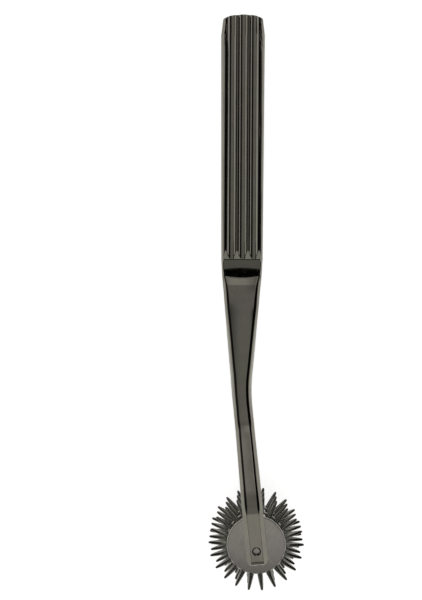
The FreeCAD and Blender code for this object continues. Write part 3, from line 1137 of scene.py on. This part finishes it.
def build_object():
    handle_metal = plated_metal("handle_plate_finish", handle_colour, handle_roughness, placed, lengthwise)
    turned = (wheel_frame, round_the_axle)
    hub_metal = plated_metal("hub_plate_finish", hub_colour, hub_roughness, *turned)
    pointed = (worn_points, pin_edge_level)
    pin_metal = plated_metal("pin_plate_finish", pin_colour, pin_roughness, *turned, *pointed)
    axle_metal = plated_metal("axle_steel_finish", axle_colour, axle_roughness, *turned)

    casting = bored(handle(), axle_cutter())
    flat_shading(casting)
    wear_and_place(casting, handle_metal, "frame", "handle_plate", "handle")
    rod = axle()
    flat_shading(rod)
    wear_and_place(rod, axle_metal, "frame", "axle_steel", "axle")
    half = hub_thickness / 2
    levels = {"near": wheel_pitch, "middle": 0.0, "far": -wheel_pitch}
    for wheel, level in levels.items():
        disc = hub("wheel_hub_" + wheel, level)
        flat_shading(disc)
        wear_and_place(disc, hub_metal, wheel + "_wheel", "hub_plate", "hub_" + wheel)
        ring = pins("wheel_pins_" + wheel, pin_phases[wheel], level)
        wear_and_place(ring, pin_metal, wheel + "_wheel", "pin_plate", "pins_" + wheel)
    outer = wheel_pitch + half + end_play
    inner = wheel_pitch - half - end_play
    sleeves = {
        "end_spacer_near": (outer, fork_half_gap),
        "spacer_near_to_middle": (half + end_play, inner),
        "spacer_middle_to_far": (-inner, -half - end_play),
        "end_spacer_far": (-fork_half_gap, -outer),
    }
    for node, (low, high) in sleeves.items():
        sleeve = spacer("sleeve_" + node, low, high)
        flat_shading(sleeve)
        wear_and_place(sleeve, axle_metal, "frame", "axle_steel", node)


# Camera, floor and light


def camera():
    lens = bpy.data.cameras.new("camera")
    lens.sensor_width = 36.0
    lens.lens = camera_focal_length
    lens.clip_start = 0.01
    viewer = bpy.data.objects.new("camera", lens)
    bpy.context.scene.collection.objects.link(viewer)
    eye, target = placed @ camera_eye, placed @ camera_target
    up_image = placed.to_3x3() @ Vector((-1, 0, 0))
    back = (eye - target).normalized()
    right = up_image.cross(back).normalized()
    up = back.cross(right)
    cos, sin = math.cos(camera_roll), math.sin(camera_roll)
    turn = Matrix((right * cos + up * sin, up * cos - right * sin, back)).transposed().to_4x4()
    viewer.matrix_world = Matrix.Translation(eye) @ turn
    bpy.context.scene.camera = viewer


def floor():
    """White paper, lifted towards white where the camera or a polished surface sees it."""
    mesh = bpy.data.meshes.new("floor")
    corners = [(x * floor_half_size, y * floor_half_size, 0) for x, y in floor_corners]
    mesh.from_pydata(corners, [], [(0, 1, 2, 3)])
    ground = bpy.data.objects.new("floor", mesh)
    bpy.context.scene.collection.objects.link(ground)
    material = bpy.data.materials.new("floor_paper")
    material.use_nodes = True
    shading = Shading(material.node_tree)
    shader = shading.nodes["Principled BSDF"]
    shader.inputs["Base Color"].default_value = grey(floor_colour)
    shader.inputs["Roughness"].default_value = 0.9
    shader.inputs["Specular IOR Level"].default_value = 0.0
    shader.inputs["Emission Color"].default_value = grey(1.0)
    path = shading.nodes.new("ShaderNodeLightPath")
    seen = shading.math("MAXIMUM", path.outputs["Is Camera Ray"], path.outputs["Is Glossy Ray"])
    shading.join(shading.math("MULTIPLY", seen, floor_lift), shader.inputs["Emission Strength"])
    mesh.materials.append(material)


def overhead_lamp():
    light = bpy.data.lights.new("overhead", "AREA")
    light.shape = "SQUARE"
    light.size = lamp_size
    light.energy = lamp_energy
    lamp = bpy.data.objects.new("overhead", light)
    lamp.location = (0, 0, lamp_height)
    lamp.visible_glossy = False
    bpy.context.scene.collection.objects.link(lamp)


def ramp(shading, value, stops, low, high):
    """A grey level for a value, through stops of (value, level)."""
    node = shading.nodes.new("ShaderNodeValToRGB")
    elements = node.color_ramp.elements
    while len(elements) > 1:
        elements.remove(elements[-1])
    for i, (at, level) in enumerate(stops):
        position = (at - low) / (high - low)
        element = elements[0] if i == 0 else elements.new(position)
        element.position = position
        element.color = grey(level)
    shading.join(shading.share(value, low, high), node.inputs["Fac"])
    return node.outputs["Color"]


def studio_world():
    world = bpy.data.worlds.new("studio")
    world.use_nodes = True
    bpy.context.scene.world = world
    shading = Shading(world.node_tree)
    background = shading.nodes["Background"]
    way = shading.nodes.new("ShaderNodeTexCoord").outputs["Generated"]
    lean = shading.nodes.new("ShaderNodeVectorRotate")
    lean.rotation_type = "Y_AXIS"
    shading.join(way, lean.inputs["Vector"])
    up = placed.to_3x3() @ Vector((0, 0, 1))
    lean.inputs["Angle"].default_value = -math.atan2(up.x, up.z)
    x, y, z = shading.parts(lean.outputs["Vector"])
    degrees = 180 / math.pi
    towards_fork = shading.math("MULTIPLY", shading.math("ARCTAN2", x, z), degrees)
    sideways = shading.math("MULTIPLY", shading.math("ARCTAN2", y, z), degrees)
    height = shading.math("MULTIPLY", shading.math("ARCSINE", shading.parts(way)[2]), degrees)
    strip = ramp(shading, sideways, strip_levels, -180, 180)
    overhead = ramp(shading, towards_fork, overhead_levels, -180, 180)
    screened = shading.share(y, screen_starts, screen_full, 0.0, horizon_screen)
    horizon = ramp(shading, shading.math("ADD", height, screened), horizon_levels, -90, 90)
    dimmed = shading.share(x, beyond_fork_starts, beyond_fork_full, 1.0, horizon_beyond_fork)
    toned = shading.math("MULTIPLY", horizon, dimmed)
    level = shading.math("MAXIMUM", shading.math("MULTIPLY", strip, overhead), toned)
    seen = shading.nodes.new("ShaderNodeLightPath").outputs["Is Camera Ray"]
    shading.join(shading.math("MAXIMUM", level, seen), background.inputs["Color"])
    background.inputs["Strength"].default_value = 1.0


build_object()
floor()
overhead_lamp()
studio_world()
camera()
bpy.context.scene.view_settings.view_transform = "Standard"
